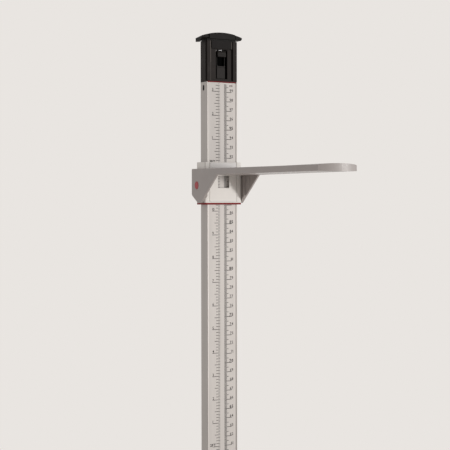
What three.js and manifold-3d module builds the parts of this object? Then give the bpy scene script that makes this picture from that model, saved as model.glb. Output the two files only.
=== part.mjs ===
// Wall-mounted telescopic measuring rod (stadiometer) with a folding headpiece.
// Millimetres, +Z up. X runs along the wall (+X to the right seen from the front),
// the wall is the plane Y = 0 and the front of the rod looks along -Y.
// Sections are drawn as (x, q), where q is the distance from the wall, so y = -q.
// Heights are first given above the floor line, then the whole assembly is lowered
// so that the origin is the centre of the lower wall bracket's back face.
import * as THREE from 'three';
import { mergeVertices } from 'three/addons/utils/BufferGeometryUtils.js';
import Module from 'manifold-3d';

// ---- driving dimensions -------------------------------------------------
const LOWER_BRACKET_Z = 100;      // height of the lower wall bracket above the floor line
const UPPER_BRACKET_Z = 900;      // height of the upper wall bracket above the floor line

// outer profile (the fixed rod)
const ROD_HALF = 18.3;            // half width
const ROD_BACK = 18.8;             // wall to back face
const ROD_FRONT = 33.7;           // wall to the front lips
const ROD_RECESS = 32.8;          // floor of the recess that holds the scale strip
const ROD_LIP = 17.0;             // half width of that recess
const ROD_BOTTOM = 8;
const ROD_TOP = 971.55;
const ROD_LEDGE = 971.05;         // top of the front wall, notched below the mouth
const CAVITY_HALF = 17.1;         // inside of the rod
const CAVITY_BACK = 20.1;
const CAVITY_FRONT = 31.6;
const RAIL_HALF = 10;             // T-slot on the back
const RAIL_BACK = 14.8;
const SLOT_HALF = 7.2;
const SLOT_MOUTH = 4;
const SLOT_LIP = 16.2;
const OVAL_Z = 965.4;              // oval side slots that hold the guide bush
const OVAL_Q = 25.6;
const OVAL_W = 3.7;
const OVAL_H = 6.3;

// inner profile (the extension)
const IN_HALF = 15.95;
const IN_BACK = 21.25;
const IN_FRONT = 30.45;
const IN_WALL = 1.2;
const IN_BOTTOM = 29;
const IN_TOP = 1008;
const IN_RECESS = 29.95;
const IN_LIP = 14.7;

// cap on top of the extension
const CAP_HALF = 18.45;
const CAP_BACK = 18.9;
const CAP_FRONT = 33.4;
const CAP_BOTTOM = 972.15;
const CAP_TOP = 1014.7;
const CAP_PANEL = 32.4;           // sunk centre plate between the two pillars
const PILLAR_IN = 13.45;          // inner edge of the pillars
const CATCH_HALF = 4.9;
const CATCH_BACK = 29.6;
const CATCH_FACE = 30.9;          // the tongue lies behind the centre plate, its nose stands out
const CATCH_BOTTOM = 975.4;
const CATCH_TOP = 1004.6;
const CATCH_OPENING = 7.0;
const LID_HALF = 24.2;
const LID_BLOCK_HALF = 15.5;
const LID_BOTTOM = 1016.8;
const LID_TOP = 1023.55;
const LID_ARCH = 76;              // radius of the arched top
const LID_FALL = 0.11;            // fall of the top towards the wall, per mm

// slider
const SL_HALF = 22.3;
const SL_BACK = 17.0;
const SL_FRONT = 35.7;
const SL_BOTTOM = 843.5;
const SL_TOP = 886.65;
const SL_IN_HALF = 18.8;
const SL_IN_BACK = 18.45;
const SL_IN_FRONT = 34.2;
const SL_GAP_HALF = 10.7;         // open back, clear of the T-slot rails
const PANEL_HALF = 16.8;
const PANEL_SEAT = 34.9;
const WINDOW_LEFT = -6.45;
const WINDOW_RIGHT = 7.35;
const WINDOW_LOW = 859.2;
const WINDOW_HIGH = 872.2;

// headpiece; f is forward of the pivot, u is above it
const PIVOT_Q = 23.9;
const PIVOT_Z = 862.1;
const CHEEK_IN = 22.55;           // boss face that runs beside the slider
const CHEEK_WALL = 24.1;          // inner face of the cheek in front of the boss
const CHEEK_OUT = 26.0;
const TONGUE_LOW = 10.7;          // underside that rests on the head
const TONGUE_HIGH = 16.6;
const TONGUE_ROOT = 13.0;         // back end of the plate between the cheeks
const RELIEF_HIGH = 12.4;         // relief that clears the slider when it folds down
const RELIEF_END = 25;
const TAPER_START = 50;           // from here the plate narrows evenly to its tip
const TIP_HALF = 21.5;
const TONGUE_CORNER = 225;        // forward reach of the plate's two front corners
const TONGUE_TIP = 228;           // forward reach of its slightly curved front
const CROWN_START = 150;          // the top begins to crown here

const wasm = await Module();
wasm.setup();

// ---- helpers --------------------------------------------------------------
function solid(geometry) {
  let g = geometry.clone();
  g.deleteAttribute('normal');
  g.deleteAttribute('uv');
  g = mergeVertices(g, 1e-4);
  return new wasm.Manifold(new wasm.Mesh({
    numProp: 3,
    vertProperties: new Float32Array(g.attributes.position.array),
    triVerts: new Uint32Array(g.index.array),
  }));
}
function geometryOf(m) {
  const mesh = m.getMesh();
  const g = new THREE.BufferGeometry();
  g.setAttribute('position', new THREE.BufferAttribute(new Float32Array(mesh.vertProperties), 3));
  g.setIndex(new THREE.BufferAttribute(new Uint32Array(mesh.triVerts), 1));
  g.computeVertexNormals();
  return g;
}
// polygon with rounded corners; each point is [a, b, radius]
function rounded(points, steps = 4) {
  const out = [];
  const n = points.length;
  for (let i = 0; i < n; i++) {
    const [x, y, r = 0] = points[i];
    if (r <= 0) { out.push([x, y]); continue; }
    const [px, py] = points[(i + n - 1) % n];
    const [nx, ny] = points[(i + 1) % n];
    const a = new THREE.Vector2(px - x, py - y).normalize();
    const b = new THREE.Vector2(nx - x, ny - y).normalize();
    const half = Math.acos(THREE.MathUtils.clamp(a.dot(b), -1, 1)) / 2;
    const t = r / Math.tan(half);
    const c = a.clone().add(b).normalize().multiplyScalar(r / Math.sin(half)).add(new THREE.Vector2(x, y));
    const s = new THREE.Vector2(x + a.x * t - c.x, y + a.y * t - c.y);
    const e = new THREE.Vector2(x + b.x * t - c.x, y + b.y * t - c.y);
    let sweep = Math.atan2(s.x * e.y - s.y * e.x, s.dot(e));
    for (let k = 0; k <= steps; k++) {
      const w = sweep * k / steps;
      out.push([c.x + s.x * Math.cos(w) - s.y * Math.sin(w), c.y + s.x * Math.sin(w) + s.y * Math.cos(w)]);
    }
  }
  return out;
}
// drops points that repeat their neighbour
function cleaned(points) {
  const out = [];
  for (const p of points) {
    const q = out[out.length - 1];
    if (!q || Math.hypot(p[0] - q[0], p[1] - q[1]) > 0.002) out.push(p);
  }
  const a = out[0], z = out[out.length - 1];
  if (Math.hypot(a[0] - z[0], a[1] - z[1]) <= 0.002) out.pop();
  return out;
}
const shapeOf = points => new THREE.Shape(cleaned(points).map(p => new THREE.Vector2(p[0], p[1])));
// section (x, q) swept from z0 to z1
function upright(points, z0, z1) {
  const g = new THREE.ExtrudeGeometry(shapeOf(points.map(p => [p[0], -p[1]])), { depth: z1 - z0, bevelEnabled: false, steps: 1 });
  g.translate(0, 0, z0);
  return solid(g);
}
// outline (q, z) swept from x0 to x1
function sideways(points, x0, x1) {
  const g = new THREE.ExtrudeGeometry(shapeOf(points), { depth: x1 - x0, bevelEnabled: false, steps: 1 });
  const m = new THREE.Matrix4().makeBasis(new THREE.Vector3(0, -1, 0), new THREE.Vector3(0, 0, 1), new THREE.Vector3(-1, 0, 0));
  g.applyMatrix4(m);
  g.translate(x1, 0, 0);
  return solid(g);
}
// outline (x, z) swept from q0 to q1
function frontal(points, q0, q1) {
  const g = new THREE.ExtrudeGeometry(shapeOf(points), { depth: q1 - q0, bevelEnabled: false, steps: 1 });
  const m = new THREE.Matrix4().makeBasis(new THREE.Vector3(1, 0, 0), new THREE.Vector3(0, 0, 1), new THREE.Vector3(0, -1, 0));
  g.applyMatrix4(m);
  g.translate(0, -q0, 0);
  return solid(g);
}
function block(x0, x1, q0, q1, z0, z1) {
  const g = new THREE.BoxGeometry(x1 - x0, q1 - q0, z1 - z0);
  g.translate((x0 + x1) / 2, -(q0 + q1) / 2, (z0 + z1) / 2);
  return solid(g);
}
function rodX(r, x0, x1, q, z, n = 32) {
  const g = new THREE.CylinderGeometry(r, r, x1 - x0, n);
  g.rotateZ(Math.PI / 2);
  g.translate((x0 + x1) / 2, -q, z);
  return solid(g);
}
function coneY(r0, r1, q0, q1, x, z, n = 28) {      // r0 at q0, r1 at q1
  const g = new THREE.CylinderGeometry(r0, r1, q1 - q0, n);
  g.translate(x, -(q0 + q1) / 2, z);
  return solid(g);
}
const rodY = (r, q0, q1, x, z, n = 28) => coneY(r, r, q0, q1, x, z, n);
const rect = (a0, a1, b0, b1, r = 0) => rounded([[a0, b0, r], [a1, b0, r], [a1, b1, r], [a0, b1, r]]);
function arc(cx, cy, r, w0, w1, n) {
  const out = [];
  for (let i = 0; i <= n; i++) {
    const w = w0 + (w1 - w0) * i / n;
    out.push([cx + r * Math.cos(w), cy + r * Math.sin(w)]);
  }
  return out;
}
// thin leaf of even thickness along a path of [a, b] points
function leaf(path, t) {
  const left = [], right = [];
  for (let i = 0; i < path.length; i++) {
    const p = path[Math.max(0, i - 1)], n = path[Math.min(path.length - 1, i + 1)];
    const d = new THREE.Vector2(n[0] - p[0], n[1] - p[1]).normalize();
    left.push([path[i][0] - d.y * t / 2, path[i][1] + d.x * t / 2]);
    right.push([path[i][0] + d.y * t / 2, path[i][1] - d.x * t / 2]);
  }
  return left.concat(right.reverse());
}

const finishes = {
  anodised: { color: 0xc4bfbc, roughness: 0.38, metalness: 0.85 },
  strip: { color: 0xd2cecb, roughness: 0.45, metalness: 0.55 },
  steel: { color: 0xa9abad, roughness: 0.3, metalness: 0.95 },
  black: { color: 0x353130, roughness: 0.5, metalness: 0.0 },
  blackLid: { color: 0x2f2b29, roughness: 0.42, metalness: 0.0 },
  guide: { color: 0x262423, roughness: 0.6, metalness: 0.0 },
  white: { color: 0xe4ded8, roughness: 0.45, metalness: 0.0 },
  label: { color: 0xcfc7c0, roughness: 0.5, metalness: 0.0 },
  pad: { color: 0xdad8d0, roughness: 0.55, metalness: 0.0 },
  red: { color: 0x9c2023, roughness: 0.4, metalness: 0.0 },
  grey: { color: 0x8d8784, roughness: 0.5, metalness: 0.0 },
  bracket: { color: 0x9a9896, roughness: 0.45, metalness: 0.7 },
};
const root = new THREE.Group();
root.name = 'stadiometer';
root.position.set(0, 0, -LOWER_BRACKET_Z);
const bodies = {};
for (const name of ['rod', 'extension', 'catch', 'slider', 'headpiece_body']) {
  bodies[name] = new THREE.Group();
  bodies[name].name = name + '_group';
  root.add(bodies[name]);
}
function piece(body, name, m, finish) {
  const f = finishes[finish];
  const material = new THREE.MeshStandardMaterial({ color: f.color, roughness: f.roughness, metalness: f.metalness, flatShading: true });
  material.name = name + '_material';
  const mesh = new THREE.Mesh(geometryOf(m), material);
  mesh.name = name;
  bodies[body].add(mesh);
  return mesh;
}

// ---- fixed rod --------------------------------------------------------------
{
  const outline = [
    [-ROD_HALF, ROD_BACK, 0.7], [-RAIL_HALF, ROD_BACK], [-RAIL_HALF, RAIL_BACK, 0.5], [-SLOT_MOUTH, RAIL_BACK],
    [-SLOT_MOUTH, SLOT_LIP], [-SLOT_HALF, SLOT_LIP], [-SLOT_HALF, ROD_BACK], [SLOT_HALF, ROD_BACK],
    [SLOT_HALF, SLOT_LIP], [SLOT_MOUTH, SLOT_LIP], [SLOT_MOUTH, RAIL_BACK], [RAIL_HALF, RAIL_BACK, 0.5],
    [RAIL_HALF, ROD_BACK], [ROD_HALF, ROD_BACK, 0.7], [ROD_HALF, ROD_FRONT, 0.4], [ROD_LIP, ROD_FRONT, 0.3],
    [ROD_LIP, ROD_RECESS], [-ROD_LIP, ROD_RECESS], [-ROD_LIP, ROD_FRONT, 0.3], [-ROD_HALF, ROD_FRONT, 0.4],
  ];
  let m = upright(rounded(outline, 3), ROD_BOTTOM, ROD_TOP);
  m = m.subtract(block(-CAVITY_HALF, CAVITY_HALF, CAVITY_BACK, CAVITY_FRONT, ROD_BOTTOM - 1, ROD_TOP + 1));
  const oval = rect(OVAL_Q - OVAL_W / 2, OVAL_Q + OVAL_W / 2, OVAL_Z - OVAL_H / 2, OVAL_Z + OVAL_H / 2, OVAL_W / 2 - 0.01);
  m = m.subtract(sideways(oval, -ROD_HALF - 1, ROD_HALF + 1));
  for (const x of [-13.6, 13.6]) m = m.subtract(rodY(1.5, ROD_BACK - 1, CAVITY_BACK + 1, x, 16));
  m = m.subtract(block(-17.7, 17.7, 31.0, 35, ROD_LEDGE, ROD_TOP + 1));
  piece('rod', 'outer_profile', m, 'anodised');

  piece('rod', 'outer_scale_strip', block(-16.8, 16.8, ROD_RECESS + 0.05, 33.15, ROD_BOTTOM + 1, ROD_LEDGE - 0.2), 'strip');

  // guide bush: a sleeve in the mouth of the rod, snapped into the oval slots
  let bush = block(-16.95, 16.95, 20.25, 31.45, 958, 970.7).subtract(block(-16.2, 16.2, 21.0, 30.7, 950, 980));
  const nub = rect(OVAL_Q - 1.5, OVAL_Q + 1.5, OVAL_Z - 2.85, OVAL_Z + 2.85, 1.45);
  bush = bush.add(sideways(nub, 16.5, 17.9)).add(sideways(nub, -17.9, -16.5));
  piece('rod', 'guide_bush', bush, 'guide');

  // closing plug at the bottom
  let cap = upright(rect(-ROD_HALF, ROD_HALF, ROD_BACK, ROD_FRONT, 1), ROD_BOTTOM - 3, ROD_BOTTOM - 0.15);
  cap = cap.add(upright(rect(-16.85, 16.85, 20.35, 31.35), ROD_BOTTOM - 0.5, 23));
  for (const x of [-13.6, 13.6]) cap = cap.subtract(rodY(1.35, 19.8, 26.8, x, 16));
  piece('rod', 'bottom_end_cap', cap, 'black');
  for (const [side, x] of [['left', -13.6], ['right', 13.6]]) {
    let s = rodY(2.5, 17.55, 18.65, x, 16).add(rodY(1.2, 18.3, 26.3, x, 16));
    s = s.subtract(block(x - 0.35, x + 0.35, 17.3, 18.0, 13.2, 18.8));
    piece('rod', 'end_cap_screw_' + side, s, 'steel');
  }

  // wall brackets: plate on the wall, gusseted neck, T-head in the rod's rear slot
  for (const [level, z] of [['lower', LOWER_BRACKET_Z], ['upper', UPPER_BRACKET_Z]]) {
    let b = frontal(rect(-7.5, 7.5, z - 32, z + 32, 3), 0, 3.5);
    const neck = [[3, z - 22], [12.6, z - 9], [18.5, z - 9], [18.5, z + 9], [12.6, z + 9], [3, z + 22]];
    b = b.add(sideways(neck, -3.6, 3.6));
    b = b.add(block(-6.6, 6.6, 16.5, 18.5, z - 15, z + 15));
    for (const dz of [-27, 27]) {
      b = b.subtract(rodY(2.3, -1, 5, 0, z + dz));
      b = b.subtract(coneY(2.3, 4.6, 1.4, 3.7, 0, z + dz));
    }
    b = b.subtract(rodY(1.7, 15.8, 19.3, 0, z + 12));
    piece('rod', level + '_wall_bracket', b, 'bracket');
    const hex = rounded([0, 1, 2, 3, 4, 5].map(k => [0.8 * Math.cos(k * Math.PI / 3), z + 12 + 0.8 * Math.sin(k * Math.PI / 3)]));
    piece('rod', level + '_bracket_set_screw', rodY(1.5, 15.9, 18.7, 0, z + 12, 20).subtract(frontal(hex, 15.8, 17.0)), 'steel');
  }
}

// ---- telescoping extension ---------------------------------------------------
{
  const outline = [
    [-IN_HALF, IN_BACK, 0.6], [IN_HALF, IN_BACK, 0.6], [IN_HALF, IN_FRONT, 0.4], [IN_LIP, IN_FRONT],
    [IN_LIP, IN_RECESS], [-IN_LIP, IN_RECESS], [-IN_LIP, IN_FRONT], [-IN_HALF, IN_FRONT, 0.4],
  ];
  let m = upright(rounded(outline, 3), IN_BOTTOM, IN_TOP);
  m = m.subtract(block(-IN_HALF + IN_WALL, IN_HALF - IN_WALL, IN_BACK + IN_WALL, IN_RECESS - IN_WALL, IN_BOTTOM - 1, IN_TOP + 1));
  m = m.subtract(block(-7.4, 7.4, 27.5, 32, 973.5, IN_TOP + 1));
  m = m.subtract(rodY(2.3, 20.8, 23.2, 0, 39));
  for (const x of [-6.5, 6.5]) m = m.subtract(rodY(1.45, 20.8, 23.2, x, 990));
  piece('extension', 'inner_profile', m, 'anodised');

  piece('extension', 'inner_scale_strip', block(-14.5, 14.5, IN_RECESS + 0.05, 30.3, IN_BOTTOM + 2, 970.8), 'strip');

  // guide shoe: foot plug that keeps the extension centred in the rod
  let shoe = upright(rect(-16.8, 16.8, 20.4, 31.3, 0.5), 24.6, 28.7);
  shoe = shoe.add(upright(rect(-14.5, 14.5, 22.65, 28.5, 0.4), 28.4, 49));
  shoe = shoe.subtract(rodY(1.25, 21.8, 26.4, 0, 39));
  shoe = shoe.subtract(block(-16.5, -16.0, 23.8, 29.2, 26.2, 29.2));
  piece('extension', 'guide_shoe', shoe, 'guide');
  piece('extension', 'shoe_screw', rodY(2.1, 21.3, 22.4, 0, 39).add(rodY(1.1, 22.2, 26.1, 0, 39)).subtract(block(-0.3, 0.3, 21.1, 21.8, 36.5, 41.5)), 'steel');

  const bow = [[-16.25, 26.5], [-16.25, 29.6]];
  for (let i = 0; i <= 14; i++) bow.push([-16.25 - 0.62 * Math.sin(Math.PI * i / 14), 30 + 25 * i / 14]);
  piece('extension', 'extension_brake_spring', frontal(leaf(bow, 0.24), 24, 29), 'steel');

  // cap body: sleeve over the top of the inner profile, with the catch opening
  let cap = upright(rect(-CAP_HALF, CAP_HALF, CAP_BACK, CAP_FRONT, 0.8), CAP_BOTTOM, CAP_TOP);
  // shallow skirt on the sides and back, down to the rod's rim
  cap = cap.add(upright(rect(-CAP_HALF, CAP_HALF, CAP_BACK, 30.9, 0.8), CAP_BOTTOM - 0.45, CAP_BOTTOM + 1));
  cap = cap.subtract(block(-16.2, 16.2, 30, 31.1, CAP_BOTTOM - 1, CAP_BOTTOM));
  cap = cap.subtract(block(-16.2, 16.2, 21.0, 30.7, CAP_BOTTOM - 1, 1011.5));
  // lower plate, set to the left between the pillars, with a deep groove on its right
  cap = cap.subtract(block(-PILLAR_IN, PILLAR_IN, CAP_PANEL, CAP_FRONT + 1, CAP_BOTTOM + 1.5, 1006.6));
  cap = cap.subtract(block(11.6, PILLAR_IN, 31.1, CAP_FRONT + 1, CAP_BOTTOM + 1.0, 1006.6));
  // upper plate, almost flush, between two narrow grooves and above a cross groove
  cap = cap.subtract(block(-12.3, 12.3, CAP_FRONT - 0.25, CAP_FRONT + 1, 1006.6, CAP_TOP + 1));
  for (const s of [-1, 1]) cap = cap.subtract(block(Math.min(s * 12.3, s * PILLAR_IN), Math.max(s * 12.3, s * PILLAR_IN), 31.3, CAP_FRONT + 1, 1005.9, CAP_TOP + 1));
  cap = cap.subtract(block(-PILLAR_IN, PILLAR_IN, 31.1, CAP_FRONT + 1, 1005.9, 1007.0));
  for (const s of [-1, 1]) cap = cap.subtract(block(Math.min(s * 17.1, s * 19), Math.max(s * 17.1, s * 19), 30.5, 32.85, CAP_BOTTOM + 1.0, CAP_TOP + 1));
  cap = cap.subtract(block(-CATCH_OPENING, CATCH_OPENING, 30, CAP_FRONT + 1, CATCH_BOTTOM - 0.4, 1006.2));
  for (const x of [-6.5, 6.5]) cap = cap.subtract(rodY(1.45, 17.8, 21.8, x, 990));
  piece('extension', 'cap_body', cap, 'black');
  // thin red plate under the cap's front edge: reading line for the extension
  piece('extension', 'cap_index_plate', upright(rect(-17.4, 17.4, 31.2, CAP_FRONT - 0.05, 0.4), CAP_BOTTOM - 0.9, CAP_BOTTOM - 0.05), 'red');
  for (const [side, x] of [['left', -6.5], ['right', 6.5]]) {
    let s = rodY(2.3, 17.5, 18.75, x, 990).add(rodY(1.25, 18.5, 24.0, x, 990));
    s = s.subtract(block(x - 0.35, x + 0.35, 17.2, 18.0, 988, 992));
    piece('extension', 'cap_screw_' + side, s, 'steel');
  }

  // lid: one arched plate over a set-back neck; its centre stands forward of the two ends,
  // and the left end has a lip that is turned down at the back
  const arched = (half, q0, q1) => {
    const w = Math.asin(half / LID_ARCH);
    const outline = [[-half, LID_BOTTOM], [half, LID_BOTTOM], ...arc(0, LID_TOP - LID_ARCH, LID_ARCH, Math.PI / 2 - w, Math.PI / 2 + w, 30)];
    const g = new THREE.ExtrudeGeometry(shapeOf(outline), { depth: q1 - q0, bevelEnabled: false, steps: 1 });
    g.applyMatrix4(new THREE.Matrix4().makeBasis(new THREE.Vector3(1, 0, 0), new THREE.Vector3(0, 0, 1), new THREE.Vector3(0, -1, LID_FALL)));
    g.translate(0, -q0, -LID_FALL * (34.5 - q0));
    return solid(g);
  };
  const above = block(-40, 40, 10, 45, LID_BOTTOM, 1040);
  const ends = arched(LID_HALF, 19.0, 33.6).add(block(-LID_HALF, LID_HALF, 19.0, 33.6, LID_BOTTOM, LID_BOTTOM + 0.4)).intersect(above)
    .subtract(sideways([[31.6, LID_BOTTOM - 1], [31.6, LID_BOTTOM], [33.7, LID_BOTTOM + 1.1], [36, LID_BOTTOM + 1.1], [36, LID_BOTTOM - 1]], -40, 40));
  const centre = arched(LID_BLOCK_HALF, 19.0, 34.5).add(block(-LID_BLOCK_HALF, LID_BLOCK_HALF, 19.0, 34.5, LID_BOTTOM, LID_BOTTOM + 0.4)).intersect(above);
  const neck = upright(rect(-18.0, 18.0, 19.4, 31.2, 1.0), CAP_TOP + 0.15, LID_BOTTOM + 1);
  const lip = sideways([[19.2, 1017.6], [19.2, 1014.1], [26.5, 1013.5], [28.3, 1014.1], [30.0, 1015.3], [32.6, 1017.6]], -LID_HALF, -22.75);
  const slit = block(15.55, 16.6, 32.0, 36, LID_BOTTOM - 1, 1021.2);
  const lid = ends.subtract(slit).add(centre).add(neck).add(lip);
  piece('extension', 'cap_lid', lid, 'blackLid');

  // steel leaf that pushes the catch back out; its end shows above the catch
  piece('extension', 'catch_spring', sideways(leaf([[28.6, 1011.2], [28.6, 1006.7], [28.85, 1005.8], [29.5, 1005.35], [32.4, 1005.15]], 0.4), -3.8, 0.5), 'steel');
}

// ---- catch in the cap --------------------------------------------------------
{
  const side = rounded([
    [CATCH_BACK, CATCH_BOTTOM], [CATCH_FACE, CATCH_BOTTOM, 0.3], [CATCH_FACE, 987.0], [CATCH_FACE - 0.3, 987.15], [CATCH_FACE - 0.3, 987.6],
    [CATCH_FACE, 987.75], [CATCH_FACE, 997.6], [33.2, 998.6, 0.5], [33.2, 1002.7, 0.6], [32.3, CATCH_TOP, 0.4], [CATCH_BACK, CATCH_TOP],
  ]);
  let m = sideways(side, -CATCH_HALF, CATCH_HALF);
  m = m.subtract(frontal(rounded([[-4.4, 988.6, 1.3], [4.4, 988.6, 1.3], [4.4, 998.2], [-4.4, 998.2]]), 28, 35));
  m = m.subtract(block(-CATCH_HALF - 1, CATCH_HALF + 1, CATCH_BACK + 0.6, 35, 989.3, 998.2));
  for (const z of [999.9, 1001.0, 1002.1]) m = m.subtract(block(-CATCH_HALF - 1, CATCH_HALF + 1, 32.75, 34, z - 0.27, z + 0.27));
  piece('catch', 'cap_catch', m, 'black');
}

// ---- slider -------------------------------------------------------------------
{
  const outline = [
    [-SL_HALF, SL_BACK, 1.2], [-SL_GAP_HALF, SL_BACK, 0.4], [-SL_GAP_HALF, SL_IN_BACK], [-SL_IN_HALF, SL_IN_BACK],
    [-SL_IN_HALF, SL_IN_FRONT], [SL_IN_HALF, SL_IN_FRONT], [SL_IN_HALF, SL_IN_BACK], [SL_GAP_HALF, SL_IN_BACK],
    [SL_GAP_HALF, SL_BACK, 0.4], [SL_HALF, SL_BACK, 1.2], [SL_HALF, SL_FRONT, 1.5], [-SL_HALF, SL_FRONT, 1.5],
  ];
  let m = upright(rounded(outline), SL_BOTTOM, SL_TOP);
  m = m.add(rodX(5.6, SL_IN_HALF, SL_HALF + 0.1, PIVOT_Q, PIVOT_Z, 40)).add(rodX(5.6, -SL_HALF - 0.1, -SL_IN_HALF, PIVOT_Q, PIVOT_Z, 40));
  m = m.subtract(block(-PANEL_HALF, PANEL_HALF, PANEL_SEAT, SL_FRONT + 1, SL_BOTTOM + 1.2, SL_TOP + 1));
  m = m.subtract(block(WINDOW_LEFT, WINDOW_RIGHT, 33, 37, WINDOW_LOW, WINDOW_HIGH));
  m = m.subtract(rodX(2.75, -30, 30, PIVOT_Q, PIVOT_Z, 28));
  // pocket for the brake leaf (left), seats for the glide pads (right)
  m = m.subtract(block(-20.6, -SL_IN_HALF + 0.5, 27.3, 31.7, 847.5, 880.5));
  m = m.subtract(block(SL_IN_HALF - 0.5, 20.3, 22.9, 31.1, 847.9, 858.6));
  m = m.subtract(block(SL_IN_HALF - 0.5, 20.3, 22.9, 31.1, 868.9, 881.1));
  // seats for the two friction leaves under the cheeks
  for (const s of [-1, 1]) m = m.subtract(block(Math.min(s * 21.0, s * 23), Math.max(s * 21.0, s * 23), 25.2, 33.2, 853.5, 857.7));
  piece('slider', 'slider_shell', m, 'white');

  // front panel with the reading window and a shallow seat for the label plate
  let p = frontal(rect(-PANEL_HALF + 0.45, PANEL_HALF - 0.45, SL_BOTTOM + 1.35, SL_TOP - 0.15, 0.5), PANEL_SEAT + 0.05, SL_FRONT);
  p = p.subtract(block(WINDOW_LEFT, WINDOW_RIGHT, 33, 37, WINDOW_LOW, WINDOW_HIGH));
  p = p.subtract(block(-16.2, 16.2, SL_FRONT - 0.35, SL_FRONT + 1, 880.5, 886.1));
  piece('slider', 'slider_front_panel', p, 'white');
  piece('slider', 'slider_label_plate', frontal(rect(-16.05, 16.05, 880.65, 885.95, 0.4), SL_FRONT - 0.3, SL_FRONT + 0.02), 'label');

  // red index plate: its front edge is the reading line
  const red = [
    [-SL_HALF, SL_BACK + 0.2, 1.0], [-SL_GAP_HALF, SL_BACK + 0.2], [-SL_GAP_HALF, SL_IN_BACK], [-SL_IN_HALF, SL_IN_BACK],
    [-SL_IN_HALF, 33.95], [SL_IN_HALF, 33.95], [SL_IN_HALF, SL_IN_BACK], [SL_GAP_HALF, SL_IN_BACK],
    [SL_GAP_HALF, SL_BACK + 0.2], [SL_HALF, SL_BACK + 0.2, 1.0], [SL_HALF, SL_FRONT + 0.15, 1.4], [-SL_HALF, SL_FRONT + 0.15, 1.4],
  ];
  piece('slider', 'red_index_plate', upright(rounded(red), 841.6, SL_BOTTOM - 0.05), 'red');

  const bow = [];
  for (let i = 0; i <= 20; i++) bow.push([-20.35 + 1.68 * Math.sin(Math.PI * i / 20), 848.2 + 31.6 * i / 20]);
  piece('slider', 'slider_brake_spring', frontal(leaf(bow, 0.28), 27.5, 31.5), 'steel');
  piece('slider', 'glide_pad_lower', block(18.5, 20.2, 23, 31, 848, 858.5), 'pad');
  piece('slider', 'glide_pad_upper', block(18.5, 20.2, 23, 31, 869, 881), 'pad');

  for (const [side, s] of [['left', -1], ['right', 1]]) {
    piece('slider', 'pivot_pin_' + side, rodX(2.6, Math.min(s * 19.1, s * 24.9), Math.max(s * 19.1, s * 24.9), PIVOT_Q, PIVOT_Z, 28), 'steel');
    const wave = [];
    for (let i = 0; i <= 14; i++) wave.push([s * (21.3 + 1.0 * Math.sin(Math.PI * i / 14)), 25.5 + 7.4 * i / 14]);
    piece('slider', 'friction_leaf_' + side, upright(leaf(wave, 0.2), 853.9, 857.3), 'steel');
  }
}

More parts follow.
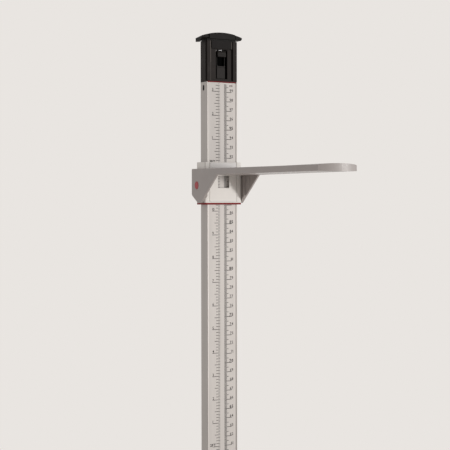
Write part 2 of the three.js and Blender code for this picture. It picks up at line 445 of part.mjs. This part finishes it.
// ---- folding headpiece --------------------------------------------------------
{
  const at = ([f, u, r = 0]) => [PIVOT_Q + f, PIVOT_Z + u, r];
  const plate = [
    [-10.9, 17.6, 1.6], [22, 17.3, 4], [98, TONGUE_HIGH, 6], [CROWN_START, TONGUE_HIGH], [CROWN_START, TONGUE_HIGH + 3], [TONGUE_TIP, TONGUE_HIGH + 3],
    [TONGUE_TIP, TONGUE_LOW - 3], [207, TONGUE_LOW - 3], [207, TONGUE_LOW], [44.2, TONGUE_LOW, 3], [8.6, -18.8, 1.8], [2.6, -18.8, 1.8], [-11.0, -10.2, 3.5],
  ].map(at);
  let m = sideways(rounded(plate, 6), -CHEEK_OUT, CHEEK_OUT);
  // plan: even taper from the cheeks to the tip, slightly curved front
  const bulge = TONGUE_TIP - TONGUE_CORNER;
  const R = (TIP_HALF * TIP_HALF + bulge * bulge) / (2 * bulge);
  const half = Math.asin(TIP_HALF / R);
  const front = arc(0, PIVOT_Q + TONGUE_TIP - R, R, Math.PI / 2 - half, Math.PI / 2 + half, 16);
  m = m.intersect(upright([[-CHEEK_OUT, -5], [CHEEK_OUT, -5], [CHEEK_OUT, PIVOT_Q + TAPER_START], ...front, [-CHEEK_OUT, PIVOT_Q + TAPER_START]], PIVOT_Z - 40, PIVOT_Z + 40));
  // crowned top and slightly bowed lip at the tip: a box whose faces are shaped row by row
  const rows = [146, 150, 158, 166, 174, 182, 190, 198, 206, 207, 211, 215, 219, 223, 227, 232];
  const ease = (f, a, b) => { const t = THREE.MathUtils.clamp((f - a) / (b - a), 0, 1); return t * t * (3 - 2 * t); };
  const widthAt = f => CHEEK_OUT - (CHEEK_OUT - TIP_HALF) * (f - TAPER_START) / (TONGUE_CORNER - TAPER_START);
  const skin = new THREE.BoxGeometry(2, rows.length - 1, 2, 22, rows.length - 1, 1);
  const pos = skin.attributes.position;
  for (let i = 0; i < pos.count; i++) {
    const s = pos.getX(i), f = rows[Math.round(pos.getY(i) + (rows.length - 1) / 2)];
    const c = 1 - Math.min(1, s * s);
    const k = ease(f, CROWN_START, 214);
    const high = f < CROWN_START ? 2 : 1.1 * c * k - 0.9 * Math.pow(Math.abs(s), 14) * ease(f, 196, 224);
    const low = f < 207 ? -2 : -0.45 * c * ease(f, 207, 221);
    const u = pos.getZ(i) > 0 ? TONGUE_HIGH + high : TONGUE_LOW + low;
    pos.setXYZ(i, s * (widthAt(f) + 0.4), -(PIVOT_Q + f), PIVOT_Z + u);
  }
  skin.index.array.reverse();
  const tip = solid(skin).add(block(-30, 30, -10, PIVOT_Q + 148, PIVOT_Z - 40, PIVOT_Z + 40));
  m = m.intersect(tip);
  // room for the slider between the cheeks, then the relief under the root of the plate
  m = m.subtract(block(-CHEEK_IN, CHEEK_IN, -5, PIVOT_Q + TONGUE_ROOT, PIVOT_Z - 30, PIVOT_Z + 30));
  m = m.subtract(block(-CHEEK_IN, CHEEK_IN, PIVOT_Q + TONGUE_ROOT - 1, PIVOT_Q + RELIEF_END, PIVOT_Z - 30, PIVOT_Z + RELIEF_HIGH));
  m = m.subtract(block(-CHEEK_IN, CHEEK_IN, PIVOT_Q + TONGUE_ROOT - 1, PIVOT_Q + 70, PIVOT_Z - 30, PIVOT_Z + TONGUE_LOW));
  // thinner cheek walls in front of the bosses, each with one stiffening rib and a groove
  for (const s of [-1, 1]) {
    const span = (a, b) => [Math.min(s * a, s * b), Math.max(s * a, s * b)];
    m = m.subtract(block(...span(20, CHEEK_WALL), PIVOT_Q + 17.6, PIVOT_Q + 70, PIVOT_Z - 30, PIVOT_Z + TONGUE_LOW));
    m = m.subtract(block(...span(20, CHEEK_WALL), PIVOT_Q + 13.2, PIVOT_Q + 14.6, PIVOT_Z - 30, PIVOT_Z + TONGUE_LOW));
    m = m.subtract(block(...span(20, CHEEK_WALL + 0.8), PIVOT_Q + 26.4, PIVOT_Q + 27.2, PIVOT_Z - 30, PIVOT_Z + TONGUE_LOW));
  }
  // hollow underside that takes the cover plate
  const hollow = (f0, f1, inset) => [[-widthAt(f0) + inset, PIVOT_Q + f0], [widthAt(f0) - inset, PIVOT_Q + f0], [widthAt(f1) - inset, PIVOT_Q + f1], [-widthAt(f1) + inset, PIVOT_Q + f1]];
  m = m.subtract(upright(hollow(70, 205, 3.0), PIVOT_Z + TONGUE_LOW - 5, PIVOT_Z + TONGUE_LOW + 1.3));
  m = m.subtract(upright(hollow(72, 203, 4.2), PIVOT_Z + TONGUE_LOW - 5, PIVOT_Z + TONGUE_LOW + 3.6));
  // pivot holes and the round seats of the red caps
  m = m.subtract(rodX(2.75, -30, 30, PIVOT_Q, PIVOT_Z, 28));
  m = m.subtract(rodX(4.3, 25.0, 27, PIVOT_Q, PIVOT_Z, 40)).subtract(rodX(4.3, -27, -25.0, PIVOT_Q, PIVOT_Z, 40));
  piece('headpiece_body', 'headpiece', m, 'grey');

  piece('headpiece_body', 'tongue_cover', upright(hollow(70.15, 204.85, 3.15), PIVOT_Z + TONGUE_LOW, PIVOT_Z + TONGUE_LOW + 1.2), 'grey');
  piece('headpiece_body', 'pivot_cap_left', rodX(4.1, -26.2, -25.05, PIVOT_Q, PIVOT_Z, 40), 'red');
  piece('headpiece_body', 'pivot_cap_right', rodX(4.1, 25.05, 26.2, PIVOT_Q, PIVOT_Z, 40), 'red');
}

export default root;
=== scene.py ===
import bpy, bmesh, math
from mathutils import Matrix, Vector


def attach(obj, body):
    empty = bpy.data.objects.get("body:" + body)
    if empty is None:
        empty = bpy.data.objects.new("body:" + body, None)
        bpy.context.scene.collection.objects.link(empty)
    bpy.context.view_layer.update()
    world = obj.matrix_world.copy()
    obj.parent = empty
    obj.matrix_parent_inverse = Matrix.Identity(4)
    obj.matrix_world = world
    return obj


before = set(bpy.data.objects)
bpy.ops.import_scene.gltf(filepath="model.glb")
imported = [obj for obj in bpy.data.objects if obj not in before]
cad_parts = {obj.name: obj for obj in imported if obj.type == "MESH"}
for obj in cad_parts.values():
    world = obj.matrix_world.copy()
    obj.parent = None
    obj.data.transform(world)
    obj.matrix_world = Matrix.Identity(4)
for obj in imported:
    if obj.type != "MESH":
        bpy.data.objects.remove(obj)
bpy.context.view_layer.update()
MM = 0.001
Z0 = -100.0            # heights below are in mm above the floor line; the frame's origin is 100 mm up
SCENE = bpy.context.scene
SCENE.view_settings.view_transform = "Standard"
SCENE.view_settings.look = "None"


def lin(r, g, b):
    f = lambda c: (c / 255 / 12.92) if c / 255 <= 0.04045 else ((c / 255 + 0.055) / 1.055) ** 2.4
    return (f(r), f(g), f(b), 1.0)


# ---------------------------------------------------------------- materials
class Nodes:
    """Small helper that adds and links shader nodes."""

    def __init__(self, name):
        self.mat = bpy.data.materials.new(name)
        self.mat.use_nodes = True
        self.t = self.mat.node_tree
        self.t.nodes.clear()
        self.out = self.t.nodes.new("ShaderNodeOutputMaterial")
        self.bsdf = self.t.nodes.new("ShaderNodeBsdfPrincipled")
        self.t.links.new(self.bsdf.outputs[0], self.out.inputs[0])
        self.coord = self.t.nodes.new("ShaderNodeTexCoord").outputs["Object"]

    def link(self, a, b):
        self.t.links.new(a, b)

    def mapping(self, scale):
        m = self.t.nodes.new("ShaderNodeMapping")
        m.inputs["Scale"].default_value = scale
        self.link(self.coord, m.inputs["Vector"])
        return m.outputs[0]

    def noise(self, scale, detail=3.0, rough=0.5, stretch=(1, 1, 1)):
        n = self.t.nodes.new("ShaderNodeTexNoise")
        n.inputs["Scale"].default_value = scale
        n.inputs["Detail"].default_value = detail
        n.inputs["Roughness"].default_value = rough
        self.link(self.mapping(stretch), n.inputs["Vector"])
        return n.outputs["Fac"]

    def voronoi(self, scale, feature="F1"):
        n = self.t.nodes.new("ShaderNodeTexVoronoi")
        n.feature = feature
        n.inputs["Scale"].default_value = scale
        self.link(self.mapping((1, 1, 1)), n.inputs["Vector"])
        return n.outputs["Distance"]

    def split(self, vector):
        n = self.t.nodes.new("ShaderNodeSeparateXYZ")
        self.link(vector, n.inputs[0])
        return n.outputs

    def ramp(self, fac, stops):
        r = self.t.nodes.new("ShaderNodeValToRGB")
        e = r.color_ramp.elements
        while len(e) < len(stops):
            e.new(0.5)
        for k, (p, c) in enumerate(stops):
            e[k].position = p
            e[k].color = c if isinstance(c, tuple) else (c, c, c, 1)
        self.link(fac, r.inputs[0])
        return r.outputs[0]

    def span(self, fac, lo, hi, a=0.0, b=1.0):
        n = self.t.nodes.new("ShaderNodeMapRange")
        n.inputs["From Min"].default_value = lo
        n.inputs["From Max"].default_value = hi
        n.inputs["To Min"].default_value = a
        n.inputs["To Max"].default_value = b
        self.link(fac, n.inputs["Value"])
        return n.outputs["Result"]

    def math(self, op, a, b=None):
        n = self.t.nodes.new("ShaderNodeMath")
        n.operation = op
        for k, v in enumerate((a, b)):
            if v is None:
                continue
            if isinstance(v, (int, float)):
                n.inputs[k].default_value = v
            else:
                self.link(v, n.inputs[k])
        return n.outputs[0]

    def mix(self, fac, a, b, blend="MIX"):
        n = self.t.nodes.new("ShaderNodeMix")
        n.data_type = "RGBA"
        n.blend_type = blend
        if isinstance(fac, (int, float)):
            n.inputs[0].default_value = fac
        else:
            self.link(fac, n.inputs[0])
        for k, v in ((6, a), (7, b)):
            if isinstance(v, tuple):
                n.inputs[k].default_value = v
            else:
                self.link(v, n.inputs[k])
        return n.outputs[2]

    def bump(self, height, strength, distance, under=None):
        n = self.t.nodes.new("ShaderNodeBump")
        n.inputs["Strength"].default_value = strength
        n.inputs["Distance"].default_value = distance
        self.link(height, n.inputs["Height"])
        if under is not None:
            self.link(under, n.inputs["Normal"])
        return n.outputs[0]

    def colour(self, v):
        self._set("Base Color", v)

    def rough(self, v):
        self._set("Roughness", v)

    def normal(self, v):
        self.link(v, self.bsdf.inputs["Normal"])

    def _set(self, socket, v):
        if isinstance(v, (tuple, int, float)):
            self.bsdf.inputs[socket].default_value = v
        else:
            self.link(v, self.bsdf.inputs[socket])

    def fixed(self, **values):
        for k, v in values.items():
            self.bsdf.inputs[k.replace("_", " ")].default_value = v
        return self


def shade(c, k):
    return (c[0] * k, c[1] * k, c[2] * k, 1.0)


def extruded(name, base, metallic, rough, line_scale=1.0, painted_lip_highlight=None):
    """Anodised extrusion: lengthwise die lines, fine satin etch and faint handling marks."""
    n = Nodes(name)
    die = n.noise(900.0 * line_scale, 2.0, 0.5, (1, 1, 0.0015))
    etch = n.noise(2600.0, 3.0, 0.6)
    cloud = n.noise(14.0, 4.0, 0.6, (1, 1, 0.35))
    marks = n.noise(60.0, 5.0, 0.65, (1, 1, 0.12))
    tone = n.ramp(die, [(0.25, shade(base, 0.93)), (0.5, base), (0.8, shade(base, 1.05))])
    tone = n.mix(n.span(cloud, 0.35, 0.7, 0.0, 0.35), tone, shade(base, 0.88))
    if painted_lip_highlight:
        # painted highlight: a lighter tone on the left front lip only, matched to the photograph; a
        # lighter tone on the left front lip only, matched to the photograph; its cause is unknown
        place = n.split(n.coord)
        mask = n.math("MULTIPLY", n.span(place[1], -0.03362, -0.03354, 1.0, 0.0), n.span(place[0], -0.001, 0.001, 1.0, 0.0))
        tone = n.mix(mask, tone, painted_lip_highlight)
    n.colour(tone)
    r = n.span(etch, 0.3, 0.7, rough - 0.04, rough + 0.05)
    r = n.math("ADD", r, n.span(marks, 0.52, 0.75, 0.0, 0.12))
    n.rough(r)
    n.normal(n.bump(die, 0.10, 0.00003, n.bump(etch, 0.08, 0.00002)))
    return n.fixed(Metallic=metallic).mat


def moulded(name, base, rough, grain=2200.0, grain_depth=0.25, worn=1.12, dust=0.0, coat=0.0, spec=0.5, coat_rough=0.14, highlight_and_tone_bands=()):
    """Moulded plastic: fine spark grain, slow colour drift, a little polish from handling."""
    n = Nodes(name)
    fine = n.noise(grain, 2.0, 0.55)
    cell = n.voronoi(grain * 0.55)
    slow = n.noise(22.0, 4.0, 0.6)
    rub = n.noise(75.0, 5.0, 0.7)
    tone = n.ramp(slow, [(0.3, shade(base, 0.94)), (0.55, base), (0.75, shade(base, 1.04))])
    tone = n.mix(n.span(rub, 0.56, 0.78, 0.0, 0.5), tone, shade(base, worn))
    if dust:
        speck = n.noise(430.0, 4.0, 0.75)
        tone = n.mix(n.span(speck, 0.60, 0.74, 0.0, dust), tone, lin(150, 146, 140))
    for (x0, x1), q0, (z0, z1), other, strength in highlight_and_tone_bands:
        # a band of another tone, matched to the photograph, used for painted highlights and darker tones: bounded in
        # x and z and in front of q0 (mm)
        place = n.split(n.coord)
        soft = 0.00006
        mask = n.span(place[0], x0 * MM - soft, x0 * MM + soft)
        mask = n.math("MULTIPLY", mask, n.span(place[0], x1 * MM - soft, x1 * MM + soft, 1.0, 0.0))
        mask = n.math("MULTIPLY", mask, n.span(place[1], -q0 * MM - soft, -q0 * MM + soft, 1.0, 0.0))
        mask = n.math("MULTIPLY", mask, n.span(place[2], (z0 + Z0) * MM, (z0 + Z0 + 0.2) * MM))
        mask = n.math("MULTIPLY", mask, n.span(place[2], (z1 + Z0 - 0.2) * MM, (z1 + Z0) * MM, strength, 0.0))
        tone = n.mix(mask, tone, other)
    n.colour(tone)
    r = n.span(fine, 0.3, 0.7, rough - 0.05, rough + 0.06)
    r = n.math("SUBTRACT", r, n.span(rub, 0.54, 0.78, 0.0, 0.13))
    n.rough(r)
    n.normal(n.bump(cell, grain_depth * 0.5, 0.00004, n.bump(fine, grain_depth, 0.00004)))
    m = n.fixed(Metallic=0.0)
    n.bsdf.inputs["Coat Weight"].default_value = coat
    n.bsdf.inputs["Coat Roughness"].default_value = coat_rough
    n.bsdf.inputs["Specular IOR Level"].default_value = spec
    return m.mat


def steel(name, base, rough, stretch=(1, 1, 1)):
    n = Nodes(name)
    grain = n.noise(1800.0, 3.0, 0.6, stretch)
    stain = n.noise(90.0, 4.0, 0.6)
    n.colour(n.mix(n.span(stain, 0.5, 0.8, 0.0, 0.4), n.ramp(grain, [(0.3, shade(base, 0.9)), (0.7, base)]), shade(base, 0.75)))
    n.rough(n.span(grain, 0.3, 0.7, rough - 0.05, rough + 0.08))
    n.normal(n.bump(grain, 0.12, 0.00002))
    return n.fixed(Metallic=1.0).mat


def ink(name, base):
    n = Nodes(name)
    n.bsdf.inputs["Specular IOR Level"].default_value = 0.12
    wear = n.noise(700.0, 4.0, 0.7)
    n.colour(n.ramp(wear, [(0.25, shade(base, 0.8)), (0.6, base), (0.85, shade(base, 1.8))]))
    n.rough(n.span(wear, 0.3, 0.7, 0.6, 0.75))
    return n.fixed(Metallic=0.0).mat


# anodised aluminium of the outer profile, with a painted highlight along its left front lip
ALU = extruded("anodised_aluminium", lin(183, 178, 174), 0.42, 0.40, painted_lip_highlight=lin(208, 203, 199))
ALU_IN = extruded("anodised_inner", lin(188, 184, 181), 0.5, 0.36)
STRIP = extruded("scale_strip", lin(201, 196, 192), 0.18, 0.50, 1.6)
BLACK = moulded("black_moulding", lin(41, 36, 34), 0.58, 2300.0, 0.3, 1.3, 0.06, 0.0, 0.16)
# cap bands: painted highlights along the left pillar's inner edge (stronger towards the top) and along the upper
# plate's right edge; the last band darkens the upper plate
CAP = moulded("black_cap", lin(41, 36, 34), 0.58, 2300.0, 0.3, 1.3, 0.06, 0.0, 0.16, highlight_and_tone_bands=(
    ((-14.15, -13.4), 33.2, (973.0, 1014.6), lin(98, 92, 88), 0.42),
    ((-14.15, -13.4), 33.2, (992.0, 1014.6), lin(112, 106, 101), 0.45),
    ((11.65, 12.35), 33.0, (1007.0, 1014.6), lin(112, 106, 101), 0.6),
    ((-12.35, 11.65), 33.0, (1007.0, 1014.8), lin(14, 12, 12), 0.7),
))
LID = moulded("black_lid", lin(23, 20, 18), 0.52, 2500.0, 0.22, 1.3, 0.06, 0.0, 0.16)
CATCH = moulded("black_catch", lin(37, 33, 31), 0.54, 2300.0, 0.25, 1.3, 0.08, 0.0, 0.20)
GUIDE = moulded("guide_plastic_black", lin(15, 14, 14), 0.6, 1800.0, 0.2, 1.2, 0.0, 0.0, 0.15)
# near-black material of the tray that paints shade into the catch's hole
WELL_SHADE = moulded("well_painted_shade", lin(6, 6, 6), 0.72, 1800.0, 0.2, 1.2, 0.0, 0.0, 0.02)
WHITE = moulded("white_moulding", lin(232, 228, 223), 0.42, 2400.0, 0.14, 0.97)
PANEL = moulded("white_panel", lin(232, 228, 223), 0.38, 2600.0, 0.10, 0.97)
LABEL = moulded("label_strip_bare", lin(218, 215, 213), 0.32, 3200.0, 0.06, 0.97)
PAD = moulded("pad_plastic_natural", lin(217, 216, 208), 0.5, 2000.0, 0.1, 0.96)
GREY = moulded("grey_moulding", lin(165, 158, 155), 0.46, 2300.0, 0.16, 1.06, 0.0, 0.10)
GREY_COVER = moulded("grey_cover", lin(171, 164, 160), 0.26, 2500.0, 0.05, 1.05)
RED = moulded("red_plastic", lin(132, 36, 38), 0.45, 2600.0, 0.08, 1.1, 0.0, 0.0, 0.12)
RED_DOT = moulded("red_pivot", lin(170, 26, 40), 0.38, 2600.0, 0.10, 1.1, 0.0, 0.1)
STEEL = steel("bright_steel", lin(186, 186, 188), 0.28)
BRACKET = moulded("bracket_paint", lin(150, 148, 146), 0.45, 1500.0, 0.3, 1.1)
INK = ink("scale_ink", lin(30, 28, 28))
INK_BROWN = ink("scale_ink_brown", lin(84, 40, 36))

def paint(obj, mat):
    obj.data.materials.clear()
    obj.data.materials.append(mat)
    for p in obj.data.polygons:
        p.material_index = 0


def soften(obj, width, flat=True, segments=3, angle=32.0):
    """Rounds a carried-over solid's sharp edges with modifiers only."""
    w = obj.modifiers.new("weld", "WELD")
    w.merge_threshold = 0.000005
    if flat:
        d = obj.modifiers.new("flat", "DECIMATE")
        d.decimate_type = "DISSOLVE"
        d.angle_limit = math.radians(0.6)
    b = obj.modifiers.new("round", "BEVEL")
    b.width = width * MM
    b.segments = segments
    b.limit_method = "ANGLE"
    b.angle_limit = math.radians(angle)
    b.harden_normals = True
    b.use_clamp_overlap = True
    b.miter_outer = "MITER_ARC" if segments > 1 else "MITER_SHARP"
    n = obj.modifiers.new("normals", "WEIGHTED_NORMAL")
    n.keep_sharp = True


def node(name):
    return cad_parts[name]


FINISH = {
    "outer_profile": (ALU, 0), "outer_scale_strip": (STRIP, 0), "guide_bush": (GUIDE, 0.15), "bottom_end_cap": (BLACK, 0.3),
    "end_cap_screw_left": (STEEL, 0.25), "end_cap_screw_right": (STEEL, 0.25), "lower_wall_bracket": (BRACKET, 0.35),
    "upper_wall_bracket": (BRACKET, 0.35), "lower_bracket_set_screw": (STEEL, 0.15), "upper_bracket_set_screw": (STEEL, 0.15),
    "inner_profile": (ALU_IN, 0), "inner_scale_strip": (STRIP, 0), "guide_shoe": (GUIDE, 0.3), "shoe_screw": (STEEL, 0.15),
    "extension_brake_spring": (STEEL, 0.05), "cap_body": (CAP, 0.2), "cap_lid": (LID, 0.3), "cap_index_plate": (RED, 0.15),
    "cap_screw_left": (STEEL, 0.25), "cap_screw_right": (STEEL, 0.25), "catch_spring": (STEEL, 0.1), "cap_catch": (CATCH, 0.12),
    "slider_shell": (WHITE, 0.16), "slider_front_panel": (PANEL, 0.35), "slider_label_plate": (LABEL, 0.1), "red_index_plate": (RED, 0.2),
    "slider_brake_spring": (STEEL, 0.06), "glide_pad_lower": (PAD, 0.3), "glide_pad_upper": (PAD, 0.3),
    "pivot_pin_left": (STEEL, 0.3), "pivot_pin_right": (STEEL, 0.3), "friction_leaf_left": (STEEL, 0.04), "friction_leaf_right": (STEEL, 0.04),
    "headpiece": (GREY, 0.4), "tongue_cover": (GREY_COVER, 0.2), "pivot_cap_left": (RED_DOT, 0.3), "pivot_cap_right": (RED_DOT, 0.3),
}
# these keep their facets: merging them would close their openings
WHOLE = {"slider_shell", "slider_front_panel"}
for name, (mat, width) in FINISH.items():
    paint(node(name), mat)
    if width:
        soften(node(name), width, name not in WHOLE)


# ---------------------------------------------------------------- printed graduations
def mesh_piece(name, verts, faces, mat, body):
    me = bpy.data.meshes.new(name)
    me.from_pydata(verts, [], faces)
    me.update()
    ob = bpy.data.objects.new(name, me)
    SCENE.collection.objects.link(ob)
    me.materials.append(mat)
    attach(ob, body)
    return ob


def slab(verts, faces, x0, x1, z0, z1, q, t):
    """A thin raised bar on the plane at distance q from the wall."""
    k = len(verts)
    for qq in (q, q + t):
        for x, z in ((x0, z0), (x1, z0), (x1, z1), (x0, z1)):
            verts.append((x * MM, -qq * MM, (z + Z0) * MM))
    faces += [(k + 4, k + 5, k + 6, k + 7), (k + 3, k + 2, k + 1, k), (k, k + 1, k + 5, k + 4),
              (k + 1, k + 2, k + 6, k + 5), (k + 2, k + 3, k + 7, k + 6), (k + 3, k, k + 4, k + 7)]


def glyph_meshes(chars, offset=0.0):
    """Each character as (verts, faces) in a plane, 1 high, standing on 0."""
    out = {}
    for ch in chars:
        cu = bpy.data.curves.new("glyph", "FONT")
        cu.body = ch
        cu.size = 1.0
        cu.offset = offset
        cu.extrude = 0.02
        cu.resolution_u = 2
        ob = bpy.data.objects.new("glyph", cu)
        SCENE.collection.objects.link(ob)
        me = bpy.data.meshes.new_from_object(ob.evaluated_get(bpy.context.evaluated_depsgraph_get()))
        out[ch] = ([tuple(v.co) for v in me.vertices], [tuple(p.vertices) for p in me.polygons])
        bpy.data.objects.remove(ob)
        bpy.data.curves.remove(cu)
        bpy.data.meshes.remove(me)
    h = max(v[1] for v in out["0"][0])
    wide = {}
    for ch, (vs, fs) in out.items():
        lo = min(v[0] for v in vs)
        hi = max(v[0] for v in vs)
        out[ch] = ([((x - lo) / h, y / h, z) for x, y, z in vs], fs)
        wide[ch] = (hi - lo) / h
    return out, wide


def write(verts, faces, text, glyphs, x_left, z_base, height, q, t, condense=1.0):
    """Puts text with its lower left corner at x_left, z_base (mm)."""
    shapes, wide = glyphs
    x = x_left
    for ch in text:
        vs, fs = shapes[ch]
        k = len(verts)
        for a, b, c in vs:
            verts.append(((x + a * height * condense) * MM, -(q + (t if c > 0 else 0.0)) * MM, (z_base + b * height + Z0) * MM))
        faces += [tuple(i + k for i in f) for f in fs]
        x += (wide[ch] * condense + 0.13) * height
    return x


CHARS = "0123456789cmFT"
BOLD = glyph_meshes(CHARS, 0.012)
HEAVY = glyph_meshes(CHARS, 0.028)


def text_width(text, glyphs, height, condense=1.0):
    return sum((glyphs[1][c] * condense + 0.13) * height for c in text) - 0.13 * height


def graduations(prefix, body, q, z_of_cm, cm_range, top_z, bottom_z):
    t = 0.03
    v, f = [], []
    lo, hi = cm_range
    for mm in range(lo * 10, hi * 10 + 1):
        z = z_of_cm(mm / 10)
        if not bottom_z + 0.4 < z < top_z - 0.4:
            continue
        if mm % 50 == 0:
            x1, w = 11.7, 0.60
        elif mm % 10 == 0:
            x1, w = 11.5, 0.54
        elif mm % 5 == 0:
            x1, w = 7.6, 0.49
        else:
            x1, w = 5.5, 0.49
        slab(v, f, 2.5, x1, z - w / 2, z + w / 2, q, t)
    mesh_piece(prefix + "_mm_marks", v, f, INK, body)
    v, f = [], []
    for cm in range(lo, hi + 1):
        z = z_of_cm(cm)
        if not bottom_z + 1 < z < top_z - 4.2:
            continue
        big = cm % 5 == 0
        h = 3.3 if big else 3.0
        text = str(cm)
        cond = 0.92 if len(text) < 3 else 0.7
        write(v, f, text, HEAVY if big else BOLD, 13.3 - text_width(text, HEAVY if big else BOLD, h, cond), z + 0.5, h, q, t, cond)
    mesh_piece(prefix + "_cm_numerals", v, f, INK, body)
    v, f = [], []
    vn, fn = [], []
    for e in range(int(lo / 2.54 * 16) - 1, int(hi / 2.54 * 16) + 2):
        z = z_of_cm(e * 2.54 / 16)
        if e < 0 or not bottom_z + 0.4 < z < top_z - 0.4:
            continue
        if e % 16 == 0:
            x0, w = -12.2, 0.52
        elif e % 8 == 0:
            x0, w = -9.4, 0.50
        elif e % 2 == 0:
            x0, w = -7.6, 0.50
        else:
            x0, w = -5.0, 0.36
        slab(v, f, x0, -2.9, z - w / 2, z + w / 2, q, t)
        if e % 16 == 0 and bottom_z < z < top_z - 4.2:
            foot, rest = divmod(e // 16, 12)
            if rest == 0 and foot:
                write(vn, fn, str(foot) + "FT", HEAVY, -15.2, z + 0.6, 2.9, q, t, 1.0)
            else:
                write(vn, fn, str(rest), BOLD, -12.1, z + 0.55, 2.9, q, t, 0.92)
    mesh_piece(prefix + "_inch_marks", v, f, INK, body)
    mesh_piece(prefix + "_inch_numerals", vn, fn, INK, body)


graduations("outer", "rod", 33.15, lambda cm: 10 * cm - 29, (4, 100), 970.3, 9.5)
v, f = [], []
write(v, f, "cm", HEAVY, 8.9, 967.2, 2.3, 33.15, 0.03, 0.95)
mesh_piece("outer_unit_cm", v, f, INK_BROWN, "rod")
# the extension reads downwards: mark 100 is at the rod's top when it is pushed in
graduations("inner", "extension", 30.3, lambda cm: 971 - 10 * (cm - 100), (100, 193), 970.4, 31.5)


# painted shade: a near-black tray behind the catch, inside the extension, which darkens the catch's hole: five thin
# walls and two ribs
def tray():
    vs, fs = [], []

    def box(x0, x1, q0, q1, z0, z1):
        slab(vs, fs, x0, x1, z0, z1, q0, q1 - q0)

    box(-7.3, 7.3, 27.7, 28.1, 974.3, 1004.6)
    for x0, x1 in ((-7.3, -7.02), (7.02, 7.3)):
        box(x0, x1, 28.1, 30.6, 974.3, 1004.6)
    box(-7.02, 7.02, 28.1, 30.6, 974.3, 974.7)
    for z in (983.0, 999.5):
        box(-7.02, 7.02, 28.1, 28.4, z, z + 0.6)
    mesh_piece("catch_well_shade_tray", vs, fs, WELL_SHADE, "extension")


tray()


# ---------------------------------------------------------------- stage, light and camera
def pale_floor():
    bm = bmesh.new()
    bmesh.ops.create_circle(bm, cap_ends=True, radius=1.9, segments=96)
    me = bpy.data.meshes.new("floor")
    bm.to_mesh(me)
    bm.free()
    ob = bpy.data.objects.new("floor", me)
    ob.location = (0, -0.25, -0.0985)
    SCENE.collection.objects.link(ob)
    n = Nodes("floor_matt")
    n.colour(n.ramp(n.noise(3.0, 3.0), [(0.3, lin(226, 222, 218)), (0.7, lin(232, 228, 224))]))
    n.rough(n.span(n.noise(40.0, 3.0), 0.3, 0.7, 0.6, 0.7))
    me.materials.append(n.mat)


pale_floor()

world = bpy.data.worlds.new("studio")
SCENE.world = world
world.use_nodes = True
wt = world.node_tree
wt.nodes.clear()
wo = wt.nodes.new("ShaderNodeOutputWorld")
seen = wt.nodes.new("ShaderNodeBackground")
seen.inputs[0].default_value = lin(233, 229, 225)
seen.inputs[1].default_value = 1.0
cast = wt.nodes.new("ShaderNodeBackground")
cast.inputs[0].default_value = (1.0, 0.965, 0.94, 1)
# the room is dimmer in front than on the pale wall's side, behind the object
way = wt.nodes.new("ShaderNodeTexCoord")
axis = wt.nodes.new("ShaderNodeSeparateXYZ")
wt.links.new(way.outputs["Generated"], axis.inputs[0])
level = wt.nodes.new("ShaderNodeMapRange")
level.interpolation_type = "SMOOTHSTEP"
level.inputs["From Min"].default_value = -0.35
level.inputs["From Max"].default_value = 0.35
level.inputs["To Min"].default_value = 0.38
level.inputs["To Max"].default_value = 0.75
wt.links.new(axis.outputs["Y"], level.inputs["Value"])
wt.links.new(level.outputs["Result"], cast.inputs[1])
path = wt.nodes.new("ShaderNodeLightPath")
pick = wt.nodes.new("ShaderNodeMixShader")
wt.links.new(path.outputs["Is Camera Ray"], pick.inputs[0])
wt.links.new(cast.outputs[0], pick.inputs[1])
wt.links.new(seen.outputs[0], pick.inputs[2])
wt.links.new(pick.outputs[0], wo.inputs[0])


def softbox(name, direction_deg, height, distance, size, power, aim=(0, -0.1, 0.75), colour=(1, 0.98, 0.96)):
    a = math.radians(direction_deg)
    la = bpy.data.lights.new(name, "AREA")
    la.shape = "RECTANGLE"
    la.size, la.size_y = size
    la.energy = power
    la.color = colour
    ob = bpy.data.objects.new(name, la)
    loc = Vector((math.sin(a) * distance, -math.cos(a) * distance, height))
    ob.location = loc
    ob.rotation_euler = (Vector(aim) - loc).to_track_quat("-Z", "Y").to_euler()
    SCENE.collection.objects.link(ob)


# direction 0 is straight in front of the rod, positive to the right
softbox("key_right_front", 41, 0.70, 2.2, (0.5, 0.6), 23.5)

# camera fitted to the photograph's graduations and edges
R = Vector((0.86836, -0.49593, -0.00097))
U = Vector((0.03, 0.05059, 0.99827))
W = Vector((0.49502, 0.86689, -0.05881))
cam_data = bpy.data.cameras.new("camera")
cam_data.sensor_fit = "HORIZONTAL"
cam_data.sensor_width = 36.0
cam_data.lens = 1211.83 / 450 * 36.0
cam_data.shift_x = -(231.535 - 225) / 450
cam_data.shift_y = (272.396 - 225) / 450
cam_data.clip_start = 0.05
cam_data.clip_end = 50
cam = bpy.data.objects.new("camera", cam_data)
m = Matrix((R, U, -W)).transposed().to_4x4()
m.translation = Vector((-0.63538, -1.16591, 0.84537 + Z0 * MM))
cam.matrix_world = m
SCENE.collection.objects.link(cam)
SCENE.camera = cam
